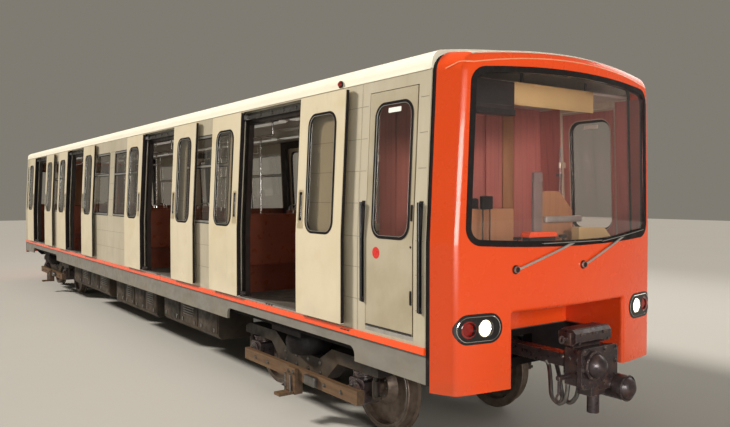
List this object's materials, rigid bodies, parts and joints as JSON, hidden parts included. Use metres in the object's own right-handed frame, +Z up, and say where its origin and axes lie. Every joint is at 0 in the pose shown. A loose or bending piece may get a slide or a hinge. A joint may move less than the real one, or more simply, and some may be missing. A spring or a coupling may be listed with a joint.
{
  "type": "metro car",
  "caption": "Metro motor car with a moulded orange cab end, silver sides, open plug doors on one side, cab doors, couplers and two powered bogies.",
  "frame": {"origin": "on the centreline at mid-length, level with the lowest points of the wheel flanges", "axes": "+X towards the cab end, +Y towards the car's left side, whose passenger doors are closed, +Z up"},
  "size_m": [18.1996, 2.805, 3.5278],
  "materials": {
    "body_sheet": "satin silver-beige sheet",
    "aluminium_trim": "anodised",
    "steel_tube": "satin",
    "roof_paint": "satin off-white",
    "ceiling_panel": "satin",
    "floor_covering": "studded rubber",
    "orange_paint": "gloss orange",
    "grey_paint": "satin",
    "black_rubber": "matt",
    "clear_glass": "polished",
    "black_plastic": "satin",
    "lamp_white": "polished",
    "lamp_red": "polished",
    "dark_steel": "satin",
    "black_iron": "painted, dusty",
    "dark_trim": "satin",
    "underframe_paint": "matt, dusty",
    "cab_panel": "satin",
    "seat_plastic": "moulded",
    "shoe_beam_wood": "oiled",
    "wheel_steel": "rolled steel"
  },
  "bodies": {
    "carbody": {"air_tanks": "underframe_paint", "cab_desk": "black_plastic", "cab_hinge_posts": "dark_steel", "cab_partition": "cab_panel", "ceiling": "ceiling_panel", "coupler_pockets": "orange_paint", "door_gear": "dark_steel", "door_glass": "clear_glass", "door_leaves_closed": "body_sheet", "door_leaves_open": "body_sheet", "door_portals": "dark_trim", "driver_seat": "seat_plastic", "end_joints": "black_rubber", "end_window_seals": "black_rubber", "floor": "floor_covering", "floor_cases": "underframe_paint", "front_mask": "orange_paint", "grab_bars": "black_plastic", "grab_poles": "steel_tube", "head_lamps": "lamp_white", "lamp_units": "black_plastic", "passenger_seats": "seat_plastic", "rear_glass": "clear_glass", "rear_mask": "orange_paint", "roof": "roof_paint", "side_glass": "clear_glass", "side_wall_left": "body_sheet", "side_wall_right": "body_sheet", "sill_strips": "orange_paint", "skirts": "grey_paint", "tail_lamps": "lamp_red", "thresholds": "aluminium_trim", "underframe": "underframe_paint", "window_frames": "aluminium_trim", "windscreen": "clear_glass", "wipers": "dark_steel"},
    "bogie_front": {"bogie_air_springs_front": "black_rubber", "bogie_axle_boxes_front": "black_iron", "bogie_collectors_front": "shoe_beam_wood", "bogie_frame_front": "underframe_paint", "bogie_motors_front": "black_iron"},
    "bogie_rear": {"bogie_air_springs_rear": "black_rubber", "bogie_axle_boxes_rear": "black_iron", "bogie_collectors_rear": "shoe_beam_wood", "bogie_frame_rear": "underframe_paint", "bogie_motors_rear": "black_iron"},
    "cab_door_left": {"cab_door_left": "body_sheet", "cab_door_glass_left": "clear_glass"},
    "cab_door_right": {"cab_door_right": "body_sheet", "cab_door_glass_right": "clear_glass"},
    "coupler_front": {"coupler_front": "black_iron", "coupler_head_box": "black_iron"},
    "coupler_rear": {"coupler_rear": "black_iron"},
    "axle_1": {"wheelset_1": "wheel_steel"},
    "axle_2": {"wheelset_2": "wheel_steel"},
    "axle_3": {"wheelset_3": "wheel_steel"},
    "axle_4": {"wheelset_4": "wheel_steel"}
  },
  "joints": [
    {"name": "bogie_front_swivel", "type": "hinge", "parent": "carbody", "child": "bogie_front", "pos_m": [6, 0, 0.55], "axis": [0, 0, 1], "range_deg": [-4, 4]},
    {"name": "bogie_rear_swivel", "type": "hinge", "parent": "carbody", "child": "bogie_rear", "pos_m": [-6, 0, 0.55], "axis": [0, 0, 1], "range_deg": [-4, 4]},
    {"name": "axle_1_spin", "type": "hinge", "parent": "bogie_front", "child": "axle_1", "pos_m": [7.05, 0, 0.458], "axis": [0, 1, 0], "continuous": true},
    {"name": "axle_2_spin", "type": "hinge", "parent": "bogie_front", "child": "axle_2", "pos_m": [4.95, 0, 0.458], "axis": [0, 1, 0], "continuous": true},
    {"name": "axle_3_spin", "type": "hinge", "parent": "bogie_rear", "child": "axle_3", "pos_m": [-4.95, 0, 0.458], "axis": [0, 1, 0], "continuous": true},
    {"name": "axle_4_spin", "type": "hinge", "parent": "bogie_rear", "child": "axle_4", "pos_m": [-7.05, 0, 0.458], "axis": [0, 1, 0], "continuous": true},
    {"name": "cab_door_left_hinge", "type": "hinge", "parent": "carbody", "child": "cab_door_left", "pos_m": [7.535, 1.212, 2], "axis": [0, 0, -1], "range_deg": [0, 85]},
    {"name": "cab_door_right_hinge", "type": "hinge", "parent": "carbody", "child": "cab_door_right", "pos_m": [7.535, -1.212, 2], "axis": [0, 0, 1], "range_deg": [0, 85]},
    {"name": "coupler_front_swing", "type": "hinge", "parent": "carbody", "child": "coupler_front", "pos_m": [7.75, 0, 0.908], "axis": [0, 0, 1], "range_deg": [-12, 12]},
    {"name": "coupler_rear_swing", "type": "hinge", "parent": "carbody", "child": "coupler_rear", "pos_m": [-7.75, 0, 0.908], "axis": [0, 0, 1], "range_deg": [-12, 12]}
  ]
}
